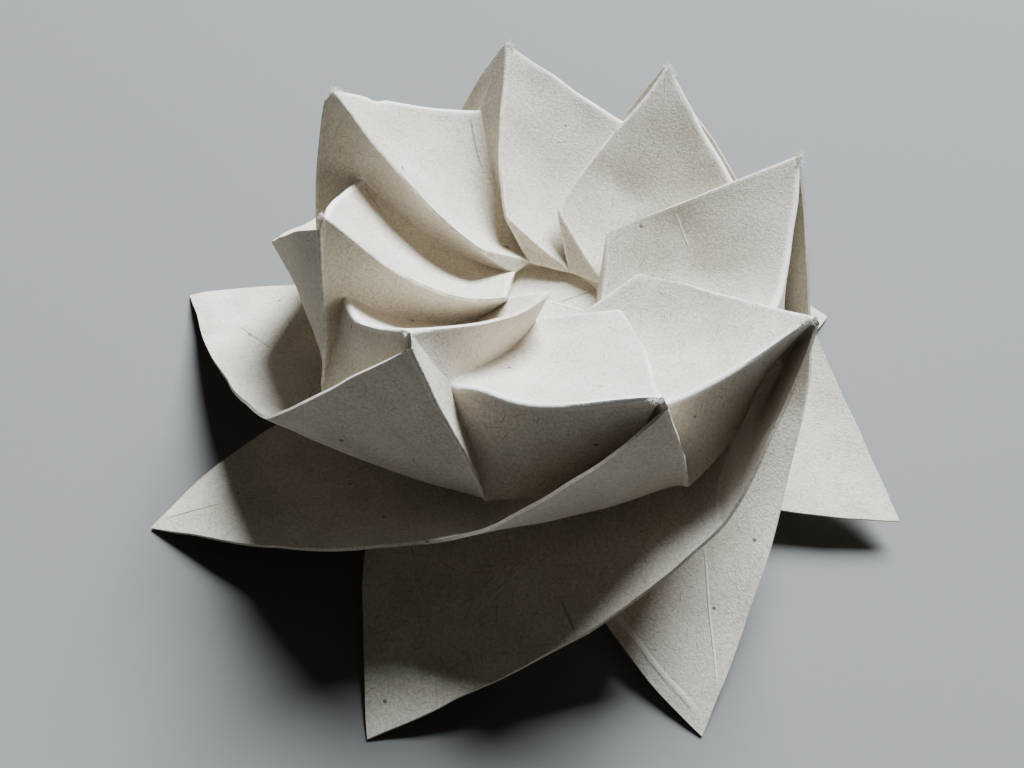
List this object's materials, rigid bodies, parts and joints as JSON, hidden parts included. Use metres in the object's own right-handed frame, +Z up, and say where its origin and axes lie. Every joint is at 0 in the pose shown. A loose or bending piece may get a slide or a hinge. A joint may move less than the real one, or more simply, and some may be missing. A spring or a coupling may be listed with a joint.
{
  "type": "folded paper lotus flower",
  "caption": "Lotus folded from one sheet of thick recycled paper: swirling hollow petals around a small flat centre, standing on a ring of pointed leaves.",
  "frame": {"origin": "on the table, under the middle of the flower's box", "axes": "+Z up along the flower's axis, -Y towards the side seen in the picture"},
  "size_m": [0.078, 0.0782, 0.0318],
  "materials": {
    "paper": "matte recycled paper, warm grey, with fibres and specks"
  },
  "bodies": {
    "root": {"paper_lotus": "paper"}
  },
  "joints": []
}
